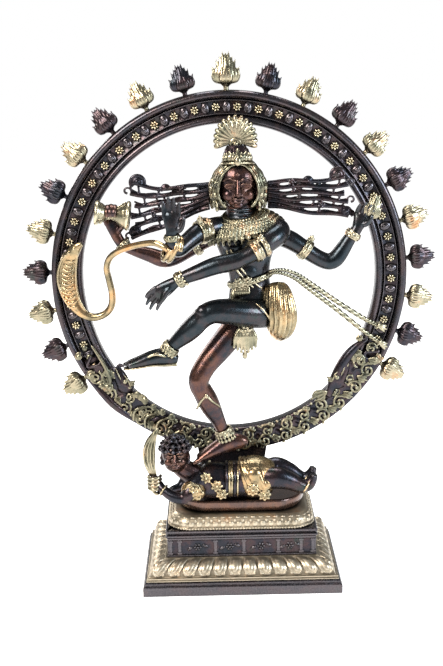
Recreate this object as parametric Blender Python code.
"""Standing dancer statue in cast brass: a stepped base, a lift-off flame aureole and a four-armed figure.

Run with: blender --background --python part.py
Lengths are in millimetres while a shape is being made, and each mesh is scaled to metres at the end.
X runs to the viewer's right, Y away from the viewer and Z up. The floor is Z = 0.
"""
from math import atan2, cos, degrees, pi, radians, sin

import bmesh
import bpy
from mathutils import Matrix, Vector

MM = 0.001
GAP = 0.3                 # air between touching castings, so that no two solids overlap
FIT_GAP = 0.5             # the same, where a casting is cut back to fit round its neighbours

# Base
BASE_X = 10.5             # the base stands a little to the right of the ring's centre
SLAB_W = 287.0
SLAB_D = 196.0
SLAB_H = 19.7
PETAL_TOP_W = 222.0
PETAL_TOP_D = 143.0
PETAL_H = 28.5
DADO_W = 213.0
DADO_D = 136.0
DADO_H = 28.6
CORNICE_W = 220.0
CORNICE_D = 143.0
CORNICE_H = 11.6
CUSHION_W = 212.0
CUSHION_D = 142.0
CUSHION_H = 20.0
CUSHION_TOP_WALL = 6.0
PLATE_W = 190.0
PLATE_D = 118.0
PLATE_H = 19.5
CORE_W = 190.0            # the hollow core, as wide as its walls of about 11 mm allow
CORE_D = 113.0
CUSHION_CORE_W = 156.0    # narrower under the cushion's rounded ends
CUSHION_CORE_D = 96.0

SLAB_TOP = SLAB_H
PETAL_Z = SLAB_TOP + GAP
PETAL_TOP = PETAL_Z + PETAL_H
DADO_Z = PETAL_TOP + GAP
DADO_TOP = DADO_Z + DADO_H
CORNICE_Z = DADO_TOP + GAP
CORNICE_TOP = CORNICE_Z + CORNICE_H
CUSHION_Z = CORNICE_TOP + GAP
CUSHION_TOP = CUSHION_Z + CUSHION_H
PLATE_Z = CUSHION_TOP + GAP
PLATE_TOP = PLATE_Z + PLATE_H

# Studs that hold the oval plate to the cushion
STUD_R = 4.0
STUD_SPREAD = 62.0        # each side of the base's centre
STUD_Y = -18.0
STUD_DEPTH = 12.0         # how far a stud goes up into the plate
STUD_BELOW = 11.0         # how far it stands out under the cushion's top wall
NUT_R = 8.0
NUT_H = 7.0

# Aureole
RING_Z = 446.0
RING_TALL = 1.028         # the ring is a little taller than wide
RING_Y = 20.0
RING_IN = 211.0
RING_OUT = 256.0
RING_FRONT = 8.0          # nothing of the figure lies behind this plane
RING_BACK = 32.0
CHANNEL_IN = 222.0
CHANNEL_OUT = 245.0
CHANNEL_Y = 14.0
RING_STEPS = 80
NARROWING = 11.0          # how much the inner edge gives way at the very bottom
NARROW_FROM = 0.35        # sine of the angle below level where the narrowing starts
FLAME_COUNT = 21
FLAME_PITCH_LEFT = 13.0   # degrees at the top, closing up towards the bottom
FLAME_PITCH_RIGHT = 12.5
FLAME_CLOSING_LEFT = 0.06
FLAME_CLOSING_RIGHT = 0.04
FLAME_TIP = 300.0
TOP_FLAME_TIP = 308.0
FLAME_FLAT = 0.6          # depth over width
BAND_FROM = -28.0         # degrees, from the viewer's right, over the top
BAND_TO = 208.0
BAND_STEPS = 64
SCROLL_FRONT = 4.6
NECK_HALF = 53.0
NECK_Y = 20.0
NECK_DEPTH = 18.0
NECK_TOP = 180.0
TENON_HALF = 22.0
TENON_DEPTH = 10.0
TENON_LENGTH = 26.0       # below the plate's top
TENON_CLEARANCE = 0.5

BRASS = (0.62, 0.47, 0.22, 1.0)
PATINA = (0.07, 0.05, 0.05, 1.0)
WARM_PATINA = (0.13, 0.06, 0.05, 1.0)
STEEL = (0.5, 0.5, 0.52, 1.0)


def metal(name, colour, roughness):
    """Return a plain metallic material."""
    material = bpy.data.materials.new(name)
    material.use_nodes = True
    shader = material.node_tree.nodes["Principled BSDF"]
    shader.inputs["Base Color"].default_value = colour
    shader.inputs["Metallic"].default_value = 1.0
    shader.inputs["Roughness"].default_value = roughness
    return material


def add_object(name, bm):
    """Turn a bmesh in millimetres into an object in metres."""
    bmesh.ops.remove_doubles(bm, verts=bm.verts, dist=0.001)
    bmesh.ops.recalc_face_normals(bm, faces=bm.faces)
    bmesh.ops.scale(bm, vec=(MM, MM, MM), verts=bm.verts)
    mesh = bpy.data.meshes.new(name)
    bm.to_mesh(mesh)
    bm.free()
    obj = bpy.data.objects.new(name, mesh)
    bpy.context.scene.collection.objects.link(obj)
    return obj


def finish(obj, colour, roughness):
    """Give a node its own material."""
    obj.data.materials.clear()
    obj.data.materials.append(metal(obj.name + "_metal", colour, roughness))
    return obj


def combine(obj, tools, operation="DIFFERENCE"):
    """Cut tools from an object, or join them to it, and remove the tools."""
    for tool in tools:
        modifier = obj.modifiers.new(operation.lower(), "BOOLEAN")
        modifier.operation = operation
        modifier.solver = "EXACT"
        modifier.object = tool
    evaluated = obj.evaluated_get(bpy.context.evaluated_depsgraph_get())
    mesh = bpy.data.meshes.new_from_object(evaluated)
    obj.modifiers.clear()
    old = obj.data
    obj.data = mesh
    bpy.data.meshes.remove(old)
    for tool in tools:
        bpy.data.objects.remove(tool)
    return obj


# Lofts: sections along a path, bridged into one closed solid

def loft(bm, frames, sides):
    """Bridge one circle for each frame, with a face on the first and the last."""
    previous = []
    for frame in frames:
        is_end = frame is frames[0] or frame is frames[-1]
        made = bmesh.ops.create_circle(bm, cap_ends=is_end, segments=sides, radius=1.0, matrix=frame)
        ring = set(made["verts"])
        edges = [edge for edge in bm.edges if edge.verts[0] in ring and edge.verts[1] in ring]
        if previous:
            bmesh.ops.bridge_loops(bm, edges=previous + edges)
        previous = edges


def swell(bm, grow):
    """Push a closed shape's surface out by grow, with its triangles fixed first."""
    bmesh.ops.triangulate(bm, faces=bm.faces)
    bmesh.ops.recalc_face_normals(bm, faces=bm.faces)
    if grow:
        bm.normal_update()
        moves = [vert.normal * vert.calc_shell_factor() * grow for vert in bm.verts]
        for vert, move in zip(bm.verts, moves):
            vert.co += move


def tier(name, stations, centre=(BASE_X, 0.0)):
    """Loft a square-cornered tier through stations of (z, width, depth)."""
    turn = Matrix.Rotation(pi / 4.0, 4, "Z")
    frames = []
    for z, width, depth in stations:
        size = Matrix.Diagonal((width / 2.0 ** 0.5, depth / 2.0 ** 0.5, 1.0, 1.0))
        frames.append(Matrix.Translation((centre[0], centre[1], z)) @ size @ turn)
    bm = bmesh.new()
    loft(bm, frames, 4)
    return add_object(name, bm)


def round_tier(name, stations, straight, sides=32):
    """Loft a tier with rounded ends. straight is the length of its straight front."""
    frames = []
    for z, width, depth in stations:
        size = Matrix.Diagonal(((width - straight) / 2.0, depth / 2.0, 1.0, 1.0))
        frames.append(Matrix.Translation((0.0, 0.0, z)) @ size)
    bm = bmesh.new()
    loft(bm, frames, sides)
    for vert in bm.verts:
        if abs(vert.co.x) > 1.0:
            vert.co.x += straight / 2.0 if vert.co.x > 0.0 else -straight / 2.0
    bmesh.ops.translate(bm, vec=(BASE_X, 0.0, 0.0), verts=bm.verts)
    return add_object(name, bm)


def path_frames(stations):
    """Return frames square to a path of (x, y, z, half width, half depth). Depth lies near Y."""
    points = [Vector(station[:3]) for station in stations]
    frames = []
    for index, station in enumerate(stations):
        before = points[max(index - 1, 0)]
        after = points[min(index + 1, len(points) - 1)]
        along = (after - before).normalized()
        across = along.cross(Vector((0.0, 1.0, 0.0))).normalized()
        deep = along.cross(across)
        frame = Matrix((across, deep, along)).transposed().to_4x4()
        frame.translation = points[index]
        frames.append(frame @ Matrix.Diagonal((station[3], station[4], 1.0, 1.0)))
    return frames


def limb(name, stations, sides=12, grow=0.0):
    """Loft a limb, cord or plume through its stations. grow makes a fatter copy, used as a clearance."""
    bm = bmesh.new()
    loft(bm, path_frames(stations), sides)
    swell(bm, grow)
    return add_object(name, bm)


def lathe(name, profile, origin, axis, sides=12, flat=1.0, grow=0.0):
    """Turn a profile of (distance, radius) around an axis. flat thins the result along Y."""
    turn = Vector(axis).to_track_quat("Z", "Y").to_matrix().to_4x4()
    squash = Matrix.Diagonal((1.0, flat, 1.0, 1.0))
    frames = []
    for distance, radius in profile:
        size = Matrix.Diagonal((radius, radius, 1.0, 1.0))
        frames.append(Matrix.Translation(origin) @ squash @ turn @ Matrix.Translation((0, 0, distance)) @ size)
    bm = bmesh.new()
    loft(bm, frames, sides)
    swell(bm, grow)
    return add_object(name, bm)


# Base

def hollow_core():
    """The space inside the base, open at the floor."""
    return tier("hollow_core", [
        (-1.0, SLAB_W - 32.0, SLAB_D - 32.0),
        (SLAB_TOP + 2.0, SLAB_W - 34.0, SLAB_D - 34.0),
        (PETAL_TOP - 2.0, CORE_W, CORE_D),
        (CORNICE_Z + 3.0, CORE_W, CORE_D),
        (CORNICE_TOP - 2.0, CUSHION_CORE_W, CUSHION_CORE_D),
        (CUSHION_TOP - CUSHION_TOP_WALL, CUSHION_CORE_W, CUSHION_CORE_D),
    ])


def stud(name, x, grow):
    """A stud from inside the plate, down through the cushion's top wall."""
    top = PLATE_Z + STUD_DEPTH + grow
    bottom = CUSHION_TOP - CUSHION_TOP_WALL - STUD_BELOW - grow
    return lathe(name, [(0.0, STUD_R), (top - bottom, STUD_R)], (x, STUD_Y, bottom), (0, 0, 1), grow=grow)


def studs(grow):
    """Both studs, as nodes or as the holes they pass through."""
    prefix = "hole_" if grow else "plate_stud_"
    return [stud(prefix + side, BASE_X + sign * STUD_SPREAD, grow) for side, sign in (("left", -1), ("right", 1))]


def tenon_slot():
    """The slot in the plate and cushion that takes the ring's tenon."""
    width = 2.0 * (TENON_HALF + TENON_CLEARANCE)
    depth = TENON_DEPTH + 2.0 * TENON_CLEARANCE
    bottom = PLATE_TOP - TENON_LENGTH - 3.0
    return tier("tenon_slot", [(bottom, width, depth), (PLATE_TOP + 1.0, width, depth)], centre=(0.0, NECK_Y))


def make_base():
    """The stepped base and the studs inside it."""
    slab = tier("plinth_slab", [
        (0.0, SLAB_W, SLAB_D),
        (13.0, SLAB_W, SLAB_D),
        (16.0, SLAB_W - 6.0, SLAB_D - 6.0),
        (SLAB_TOP, SLAB_W - 7.0, SLAB_D - 7.0),
    ])
    finish(combine(slab, [hollow_core()]), PATINA, 0.4)
    petals = tier("petal_tier", [
        (PETAL_Z, SLAB_W - 10.0, SLAB_D - 10.0),
        (PETAL_Z + 4.0, SLAB_W - 10.0, SLAB_D - 10.0),
        (PETAL_Z + 6.0, SLAB_W - 18.0, SLAB_D - 16.0),
        (PETAL_Z + 10.0, SLAB_W - 20.0, SLAB_D - 18.0),
        (PETAL_Z + 17.0, SLAB_W - 22.0, SLAB_D - 18.0),
        (PETAL_Z + 24.0, PETAL_TOP_W + 20.0, PETAL_TOP_D + 18.0),
        (PETAL_TOP, PETAL_TOP_W, PETAL_TOP_D),
    ])
    finish(combine(petals, [hollow_core()]), BRASS, 0.35)
    dado = tier("dado", [(DADO_Z, DADO_W, DADO_D), (DADO_TOP, DADO_W, DADO_D)])
    finish(combine(dado, [hollow_core()]), PATINA, 0.4)
    cornice = tier("cornice", [
        (CORNICE_Z, CORNICE_W - 2.0, CORNICE_D - 2.0),
        (CORNICE_Z + 4.0, CORNICE_W, CORNICE_D),
        (CORNICE_Z + 5.0, CORNICE_W - 4.0, CORNICE_D - 4.0),
        (CORNICE_Z + 7.0, CORNICE_W - 4.0, CORNICE_D - 4.0),
        (CORNICE_Z + 8.0, CORNICE_W, CORNICE_D),
        (CORNICE_TOP, CORNICE_W - 3.0, CORNICE_D - 3.0),
    ])
    finish(combine(cornice, [hollow_core()]), PATINA, 0.4)
    cushion = round_tier("cushion_tier", [
        (CUSHION_Z, CUSHION_W, CUSHION_D),
        (CUSHION_Z + 7.0, CUSHION_W, CUSHION_D),
        (CUSHION_Z + 14.0, CUSHION_W - 6.0, CUSHION_D - 6.0),
        (CUSHION_TOP, CUSHION_W - 20.0, CUSHION_D - 20.0),
    ], straight=CUSHION_W - 84.0)
    finish(combine(cushion, [hollow_core(), tenon_slot()] + studs(GAP)), BRASS, 0.35)
    plate = round_tier("oval_plate", [
        (PLATE_Z, PLATE_W - 14.0, PLATE_D - 14.0),
        (PLATE_Z + 6.0, PLATE_W - 4.0, PLATE_D - 4.0),
        (PLATE_Z + 12.0, PLATE_W, PLATE_D),
        (PLATE_TOP - 3.0, PLATE_W, PLATE_D),
        (PLATE_TOP, PLATE_W - 4.0, PLATE_D - 4.0),
    ], straight=PLATE_W - 90.0)
    finish(combine(plate, [tenon_slot()] + studs(GAP)), PATINA, 0.4)
    for part in studs(0.0):
        finish(part, STEEL, 0.5)
    nut_top = CUSHION_TOP - CUSHION_TOP_WALL - GAP
    for side, sign in (("left", -1), ("right", 1)):
        x = BASE_X + sign * STUD_SPREAD
        nut = lathe("plate_nut_" + side, [(0.0, NUT_R), (NUT_H, NUT_R)], (x, STUD_Y, nut_top - NUT_H), (0, 0, 1), 6)
        finish(combine(nut, [stud("nut_bore", x, GAP)]), STEEL, 0.5)


# Aureole

def ring_point(angle, radius, y):
    """A point of the ring, by its angle in degrees from the viewer's right."""
    turn = radians(angle)
    return Vector((radius * cos(turn), y, RING_Z + RING_TALL * radius * sin(turn)))


def sweep_ring(name, section, start, end, steps):
    """Carry a closed section of (radius, y) round the ring from one angle to another."""
    bm = bmesh.new()
    verts = [bm.verts.new((radius, y, 0.0)) for radius, y in section]
    face = bm.faces.new(verts)
    whole = end - start >= 360.0
    bmesh.ops.rotate(bm, cent=(0, 0, 0), matrix=Matrix.Rotation(-radians(start), 3, "Y"), verts=verts)
    edges = list(face.edges)
    if whole:
        bmesh.ops.delete(bm, geom=[face], context="FACES_ONLY")
    geometry = verts + edges if whole else verts + edges + [face]
    bmesh.ops.spin(bm, geom=geometry, cent=(0, 0, 0), axis=(0, -1, 0), angle=radians(end - start),
                   steps=steps, use_merge=whole)
    for vert in bm.verts:
        radius = (vert.co.x ** 2 + vert.co.z ** 2) ** 0.5
        below = max(0.0, (-vert.co.z / radius - NARROW_FROM) / (1.0 - NARROW_FROM))
        inward = (RING_OUT - radius) / (RING_OUT - RING_IN)
        wider = 1.0 + NARROWING * below * inward / radius
        vert.co.x *= wider
        vert.co.z = RING_Z + RING_TALL * vert.co.z * wider
    return bm


def raise_rosettes(bm):
    """Raise a block on every second front face of the band."""
    front = [face for face in bm.faces if face.normal.y < -0.9]
    chosen = [face for face in front if band_index(face) % 2 == 0]
    bmesh.ops.inset_individual(bm, faces=chosen, thickness=2.0)
    raised = bmesh.ops.extrude_discrete_faces(bm, faces=chosen)["faces"]
    for face in raised:
        bmesh.ops.translate(bm, vec=(0.0, -2.6, 0.0), verts=face.verts)


def band_index(face):
    """Number a face of the band by its angle."""
    centre = face.calc_center_median()
    angle = degrees(atan2((centre.z - RING_Z) / RING_TALL, centre.x))
    if angle < BAND_FROM:
        angle += 360.0
    return int((angle - BAND_FROM) / (BAND_TO - BAND_FROM) * BAND_STEPS)


def flame_angle(step):
    """The angle of a flame, counted from the top one: positive steps go to the viewer's left."""
    if step > 0:
        return 90.0 + FLAME_PITCH_LEFT * step - FLAME_CLOSING_LEFT * step * step
    return 90.0 + FLAME_PITCH_RIGHT * step + FLAME_CLOSING_RIGHT * step * step


def flame(name, angle, tip):
    """One flame: a short neck, a round bud and a pointed tip."""
    foot = ring_point(angle, RING_OUT + 0.6, RING_Y)
    top = ring_point(angle, tip, RING_Y)
    length = (top - foot).length
    scale = length / 44.0
    profile = [(0.0, 3.6), (5.0, 4.0), (9.0, 11.0), (15.0, 16.5), (23.0, 17.0), (32.0, 12.0), (39.0, 5.0), (44.0, 0.8)]
    scaled = [(distance * scale, radius * scale) for distance, radius in profile]
    return lathe(name, scaled, foot, top - foot, sides=12, flat=FLAME_FLAT)


def make_aureole():
    """The ring, its trim, its support neck and its flames."""
    section = [
        (RING_IN + 0.6, RING_BACK), (RING_IN, RING_FRONT + 3.0), (RING_IN + 2.5, RING_FRONT),
        (CHANNEL_IN - 2.5, RING_FRONT), (CHANNEL_IN, RING_FRONT + 3.0), (CHANNEL_IN, CHANNEL_Y),
        (CHANNEL_OUT, CHANNEL_Y), (CHANNEL_OUT, RING_FRONT + 3.0), (CHANNEL_OUT + 2.5, RING_FRONT),
        (RING_OUT - 2.5, RING_FRONT), (RING_OUT, RING_FRONT + 3.0), (RING_OUT - 0.6, RING_BACK),
    ]
    finish(add_object("ring_casting", sweep_ring("ring", section, 0.0, 360.0, RING_STEPS)), PATINA, 0.4)
    strip = [
        (CHANNEL_IN + 0.8, CHANNEL_Y - GAP), (CHANNEL_OUT - 0.8, CHANNEL_Y - GAP),
        (CHANNEL_OUT - 0.8, CHANNEL_Y - 2.2), (CHANNEL_IN + 0.8, CHANNEL_Y - 2.2),
    ]
    band = sweep_ring("band", strip, BAND_FROM, BAND_TO, BAND_STEPS)
    bmesh.ops.recalc_face_normals(band, faces=band.faces)
    raise_rosettes(band)
    finish(add_object("rosette_band", band), BRASS, 0.35)
    plate = [
        (RING_IN - 3.0, RING_FRONT - GAP), (RING_OUT + 1.0, RING_FRONT - GAP),
        (RING_OUT - 3.0, SCROLL_FRONT), (RING_IN + 1.0, SCROLL_FRONT),
    ]
    for side, start, end, head in (("left", 212.0, 268.0, 221.0), ("right", 272.0, 329.0, 318.0)):
        scroll = sweep_ring("scroll", plate, start, end, 20)
        shape_scroll(scroll, head)
        finish(add_object("makara_scroll_" + side, scroll), BRASS, 0.4)
    neck_bottom = PLATE_TOP + GAP
    neck = tier("ring_neck", [
        (neck_bottom, 2.0 * NECK_HALF - 8.0, NECK_DEPTH), (NECK_TOP - 22.0, 2.0 * NECK_HALF - 8.0, NECK_DEPTH),
        (NECK_TOP - 6.0, 2.0 * NECK_HALF, NECK_DEPTH), (NECK_TOP + 16.0, 2.0 * NECK_HALF, NECK_DEPTH),
    ], centre=(0.0, NECK_Y))
    tenon = tier("tenon", [
        (PLATE_TOP - TENON_LENGTH, 2.0 * TENON_HALF, TENON_DEPTH), (neck_bottom + 1.0, 2.0 * TENON_HALF, TENON_DEPTH),
    ], centre=(0.0, NECK_Y))
    outside = add_object("ring_space", sweep_ring("space", [
        (RING_IN - 6.0, 0.0), (RING_OUT + GAP, 0.0), (RING_OUT + GAP, 40.0), (RING_IN - 6.0, 40.0)], 0.0, 360.0, 96))
    combine(neck, [tenon], "UNION")
    finish(combine(neck, [outside]), PATINA, 0.45)
    for index in range(FLAME_COUNT):
        step = FLAME_COUNT // 2 - index
        colour = BRASS if step % 2 == 0 else PATINA
        tip = TOP_FLAME_TIP if step == 0 else FLAME_TIP
        finish(flame(f"flame_{index + 1:02d}", flame_angle(step), tip), colour, 0.35)


def shape_scroll(bm, head_angle):
    """Swell the inner edge of a scroll plate into the makara's head."""
    for vert in bm.verts:
        x, z = vert.co.x, (vert.co.z - RING_Z) / RING_TALL
        radius = (x * x + z * z) ** 0.5
        if radius > (RING_IN + RING_OUT) / 2.0:
            continue
        angle = degrees(atan2(z, x)) % 360.0
        swell = 16.0 * max(0.0, 1.0 - abs(angle - head_angle) / 8.0)
        vert.co.x -= swell * x / radius
        vert.co.z -= swell * RING_TALL * z / radius


# Figure: stations of (x, y, z, half width across the path, half depth) for each casting

SHAPES = {
    "torso": [
        (32, -40, 394, 20, 19), (30, -40, 408, 32, 25), (28, -39, 426, 33, 24), (24, -38, 444, 25, 20),
        (22, -38, 458, 23, 18.5), (22, -38, 480, 32, 21), (24, -38, 502, 41, 22), (25, -38, 519, 42, 19),
        (22, -38, 530, 27, 15), (17, -39, 538, 14, 13), (15, -41, 553, 12.5, 12),
    ],
    "head": [
        (14, -45, 550, 8, 8), (14, -45, 556, 15, 15), (13, -46, 567, 21, 21), (13, -46, 582, 24, 24),
        (12, -45, 597, 22, 22), (12, -44, 608, 14, 15), (12, -43, 613, 6, 7),
    ],
    "headdress": [
        (15, -28, 547, 24, 10), (14, -28, 555, 36, 14), (14, -29, 572, 41, 17), (14, -31, 590, 39, 21),
        (13, -33, 604, 32, 25), (12, -34, 614, 24, 22), (12, -35, 619, 18, 16),
    ],
    "feather_crown": [
        (12, -34, 615, 21, 18), (12, -34, 622, 18, 15), (12, -33, 629, 20, 13), (11, -32, 640, 31, 9),
        (11, -32, 653, 33, 7), (10, -31, 662, 27, 6), (10, -31, 671, 12, 5), (10, -31, 678, 3, 3),
    ],
    "arm_front_left": [
        (74, -44, 528, 13, 12), (71, -57, 518, 15, 14), (55, -69, 509, 14.5, 14), (34, -78, 496, 13.5, 13),
        (7, -82, 484, 13, 12), (-20, -83, 478, 12, 12), (-45, -83, 469, 11, 11), (-67, -82, 461, 9.5, 9),
        (-83, -82, 453, 11, 8), (-103, -80, 437, 12.5, 6.5), (-117, -79, 423, 9.5, 5), (-127, -78, 411, 4.5, 4),
    ],
    "arm_front_right": [
        (-6, -38, 526, 11, 11), (-23, -47, 525, 13.5, 13), (-43, -60, 519, 13.5, 13), (-59, -72, 508, 12.5, 12),
        (-70, -80, 500, 12, 12), (-76, -84, 506, 10.5, 10.5), (-78, -86, 517, 8.5, 8), (-77, -88, 532, 13, 7),
        (-77, -89, 547, 12.5, 6), (-78, -89, 563, 10.5, 5), (-77, -89, 577, 6, 3.5),
    ],
    "arm_back_left": [
        (57, -32, 514, 11, 10), (81, -33, 505, 13.2, 12.5), (100, -33, 494, 12.6, 12), (120, -32, 480, 12, 11.5),
        (137, -31, 471, 12, 11.5), (151, -31, 478, 11.8, 11), (163, -30, 496, 10.5, 10), (175, -29, 512, 8.4, 8),
        (182, -28, 525, 9.5, 6), (187, -27, 539, 8.5, 5), (191, -27, 550, 5, 4),
    ],
    "arm_back_right": [
        (-8, -33, 518, 11, 11), (-29, -33, 509, 12.5, 12), (-55, -33, 495, 12.5, 12), (-77, -32, 482, 12.5, 12),
        (-93, -31, 479, 12.2, 11.5), (-111, -30, 486, 10.5, 10), (-130, -30, 492, 8, 8), (-147, -30, 500, 7.5, 7),
        (-157, -30, 515, 8.5, 6.5), (-164, -30, 533, 8.5, 5.5), (-168, -30, 550, 7, 5), (-171, -30, 561, 4.5, 4),
    ],
    "standing_leg": [
        (26, -40, 404, 18, 17), (17, -42, 393, 19, 18), (2, -47, 376, 19, 18.5), (-20, -53, 351, 18.3, 18),
        (-39, -59, 330, 17, 17), (-46, -61, 312, 15, 15), (-38, -57, 289, 14.8, 14.5), (-28, -51, 265, 13.5, 13),
        (-20, -46, 247, 10.5, 10.5), (-14, -43, 232, 9.3, 9.5), (-10, -42, 219, 9.5, 10),
    ],
    "standing_foot": [
        (20, -40, 214, 6, 8), (10, -40, 213, 10.5, 10), (-9, -42, 208, 12, 11), (-29, -44, 200, 9, 12),
        (-45, -46, 193, 6.5, 13), (-56, -47, 188, 4.5, 11),
    ],
    "raised_leg": [
        (56, -44, 405, 22, 18), (38, -58, 405, 21, 19.5), (16, -68, 409, 19.5, 18.5), (-8, -76, 413, 18, 17.5),
        (-27, -80, 412, 16.5, 16.5), (-43, -80, 402, 15, 15), (-58, -79, 388, 13.8, 13.5), (-74, -77, 373, 11.2, 11),
        (-88, -75, 359, 9, 9),
    ],
    "raised_foot": [
        (-76, -74, 348, 7, 8), (-88, -74, 347, 11, 10), (-105, -75, 348, 10, 11), (-124, -76, 344, 8.5, 12),
        (-144, -77, 340, 6.5, 12), (-160, -77, 336, 4, 9),
    ],
    "collar": [
        (24, -40, 490, 24, 25), (23, -40, 507, 37, 25.5), (22, -40, 523, 37, 23), (19, -39.5, 533, 26, 18.5),
        (17, -39.5, 542, 18, 16),
    ],
    "waist_cloth": [
        (30, -40, 420, 36, 27.5), (28, -39, 431, 33.5, 26.5), (25, -38, 445, 28, 22.5), (22, -38, 460, 26.5, 21.5),
    ],
    "hip_cloth": [
        (64, -38, 440, 14, 20), (67, -37, 427, 19, 24), (69, -36, 404, 19, 22), (66, -36, 382, 14, 18),
        (63, -36, 364, 7, 10),
    ],
    "tassel": [
        (20, -66, 393, 8, 5), (20, -66, 386, 15, 6), (19, -66, 372, 18, 6), (18, -66, 358, 11, 5),
        (18, -66, 347, 4, 3),
    ],
    "sash_upper": [
        (60, -60, 473, 4.5, 4.5), (76, -55, 469, 4.5, 4.5), (92, -49, 459, 4.5, 4.5), (104, -43, 443, 4.5, 4.5),
        (124, -34, 425, 4.5, 4.5), (149, -24, 409, 4.5, 4.5), (186, -10, 389, 4.5, 4.5), (208, -4, 379, 5, 4.5),
        (222, -2, 372, 7, 3.5),
    ],
    "sash_lower": [
        (58, -60, 462, 4.5, 4.5), (72, -55, 458, 4.5, 4.5), (85, -49, 448, 4.5, 4.5), (97, -43, 432, 4.5, 4.5),
        (118, -34, 414, 4.5, 4.5), (147, -24, 393, 4.5, 4.5), (186, -10, 367, 4.5, 4.5), (210, -4, 351, 5, 4.5),
        (225, -2, 342, 7, 3.5),
    ],
    "snake": [
        (-92, -86, 507, 4.5, 4.5), (-101, -83, 510, 4.5, 4.5), (-113, -75, 509, 4.5, 4.5),
        (-133, -62, 504, 4.5, 4.5), (-152, -50, 496, 4.5, 4.5), (-166, -40, 485, 4.5, 4.5),
        (-172, -32, 469, 4.5, 4.5), (-170, -25, 451, 4.8, 4.8), (-167, -18, 429, 5, 5), (-169, -14, 411, 5.2, 5.2),
        (-179, -11, 399, 5.4, 5.2), (-195, -9, 394, 5.7, 5.4), (-211, -7, 400, 7.2, 5.5), (-224, -6, 415, 10, 6),
        (-231, -6, 437, 13, 6), (-232, -6, 460, 13.5, 6), (-227, -7, 480, 12, 6), (-219, -8, 493, 8.5, 5.5),
        (-212, -9, 500, 4, 4),
    ],
    "hand_flame": [
        (193, -28, 527, 5, 5), (197, -28, 535, 10, 7), (201, -28, 545, 11, 7), (205, -28, 555, 8, 5),
        (209, -28, 566, 2, 1.5),
    ],
    "dwarf_body": [
        (-60, -47, 164, 13, 16), (-46, -47, 160, 24, 23), (-26, -46, 159, 27, 26), (0, -46, 160, 26, 24),
        (26, -46, 163, 30, 27), (44, -46, 162, 30, 27), (62, -46, 158, 23, 23), (86, -46, 154, 17, 18),
        (104, -46, 156, 17, 14), (116, -46, 157, 12, 10),
    ],
    "dwarf_head": [
        (-83, -51, 174, 10, 10), (-83, -51, 180, 18, 17), (-83, -51, 194, 23, 21), (-83, -50, 209, 23, 20),
        (-83, -49, 221, 16, 14), (-83, -49, 228, 6, 6),
    ],
    "dwarf_cobra": [
        (-110, -55, 162, 5, 5), (-115, -55, 175, 6, 5), (-119, -55, 195, 8, 5), (-119, -55, 215, 8, 5),
        (-115, -55, 232, 5, 4), (-110, -55, 242, 1.5, 1.5),
    ],
}

DRUM_PROFILE = [(0.0, 15.5), (6.0, 16.5), (9.0, 13.0), (22.0, 5.0), (33.0, 12.0), (44.0, 20.0), (49.0, 19.0)]
DRUM_START = (-184.0, -45.0, 546.0)

# Each casting, the castings it is fitted round, and its finish
FITTED = [
    ("torso", [], WARM_PATINA),
    ("head", ["torso"], WARM_PATINA),
    ("headdress", ["torso", "head"], BRASS),
    ("feather_crown", ["head", "headdress"], BRASS),
    ("arm_front_left", ["torso"], PATINA),
    ("arm_front_right", ["torso"], PATINA),
    ("arm_back_left", ["torso", "arm_front_left"], PATINA),
    ("arm_back_right", ["torso", "arm_front_right"], WARM_PATINA),
    ("standing_leg", ["torso"], WARM_PATINA),
    ("raised_leg", ["torso", "standing_leg"], PATINA),
    ("collar", ["torso", "headdress", "head", "arm_front_left", "arm_front_right", "arm_back_left",
                "arm_back_right"], BRASS),
    ("waist_cloth", ["torso", "raised_leg", "standing_leg"], BRASS),
    ("hip_cloth", ["torso", "waist_cloth", "raised_leg", "standing_leg"], BRASS),
    ("tassel", ["standing_leg", "raised_leg"], BRASS),
    ("sash_upper", ["waist_cloth", "torso", "hip_cloth"], BRASS),
    ("sash_lower", ["waist_cloth", "torso", "hip_cloth"], BRASS),
    ("snake", ["arm_front_right"], BRASS),
    ("hand_flame", ["arm_back_left"], BRASS),
    ("dwarf_body", ["standing_foot"], PATINA),
    ("dwarf_head", ["dwarf_body"], WARM_PATINA),
    ("dwarf_cobra", ["dwarf_head", "dwarf_body"], BRASS),
]
FEET = {"standing_leg": "standing_foot", "raised_leg": "raised_foot"}

# Hair fans: rows of strands and gaps from the head outwards
STRAND_ROWS = 11
LINK_COLUMNS = 9
HAIR_Y = -14.0
HAIR_THICK = 6.0


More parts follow.
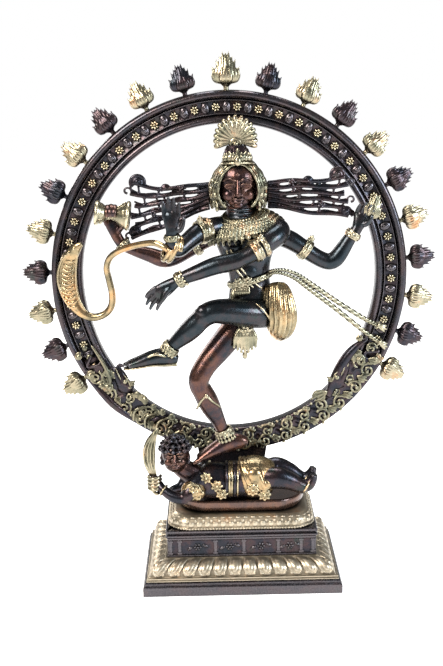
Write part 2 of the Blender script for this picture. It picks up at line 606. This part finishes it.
def drum(grow=0.0):
    """The hourglass drum, turned about a level axis."""
    return lathe("drum", DRUM_PROFILE, DRUM_START, (1, 0, 0), sides=16, grow=grow)


def make_figure():
    """The cast figure, each piece cut back from the ones it is fitted round."""
    for name, neighbours, colour in FITTED:
        piece = limb(name, SHAPES[name])
        if name in FEET:
            combine(piece, [limb("foot", SHAPES[FEET[name]])], "UNION")
        spaces = [limb("space", SHAPES[neighbour], grow=FIT_GAP) for neighbour in neighbours]
        if name == "arm_back_right":
            spaces.append(drum(GAP))
        if spaces:
            combine(piece, spaces)
        finish(piece, colour, 0.38)
    finish(drum(), BRASS, 0.35)


def hair_fan(name, root, tip, dip):
    """A fan of linked strands. root and tip are (x, lowest z, highest z); dip lowers the top between them."""
    bm = bmesh.new()
    bmesh.ops.create_grid(bm, x_segments=LINK_COLUMNS, y_segments=STRAND_ROWS, size=0.5)
    gaps = []
    for face in bm.faces:
        centre = face.calc_center_median()
        column = int((centre.x + 0.5) * LINK_COLUMNS)
        row = int((centre.y + 0.5) * STRAND_ROWS)
        is_link = (column + row // 2 * 2) % 4 == 0
        if row % 2 == 1 and not is_link:
            gaps.append(face)
    bmesh.ops.delete(bm, geom=gaps, context="FACES")
    for vert in bm.verts:
        along, up = vert.co.x + 0.5, vert.co.y + 0.5
        low = root[1] + (tip[1] - root[1]) * along
        high = root[2] + (tip[2] - root[2]) * along
        high -= dip * sin(pi * along)
        vert.co = (root[0] + (tip[0] - root[0]) * along, HAIR_Y, low + (high - low) * up)
    bmesh.ops.recalc_face_normals(bm, faces=bm.faces)
    bmesh.ops.solidify(bm, geom=bm.faces[:], thickness=HAIR_THICK)
    return finish(add_object(name, bm), PATINA, 0.45)


def main():
    """Build the whole statue in an empty scene."""
    for obj in list(bpy.data.objects):
        bpy.data.objects.remove(obj)
    make_base()
    make_aureole()
    make_figure()
    hair_fan("hair_fan_left", (-28.0, 547.0, 586.0), (-139.0, 504.0, 590.0), dip=10.0)
    hair_fan("hair_fan_right", (57.0, 547.0, 586.0), (172.0, 531.0, 591.0), dip=2.0)


main()
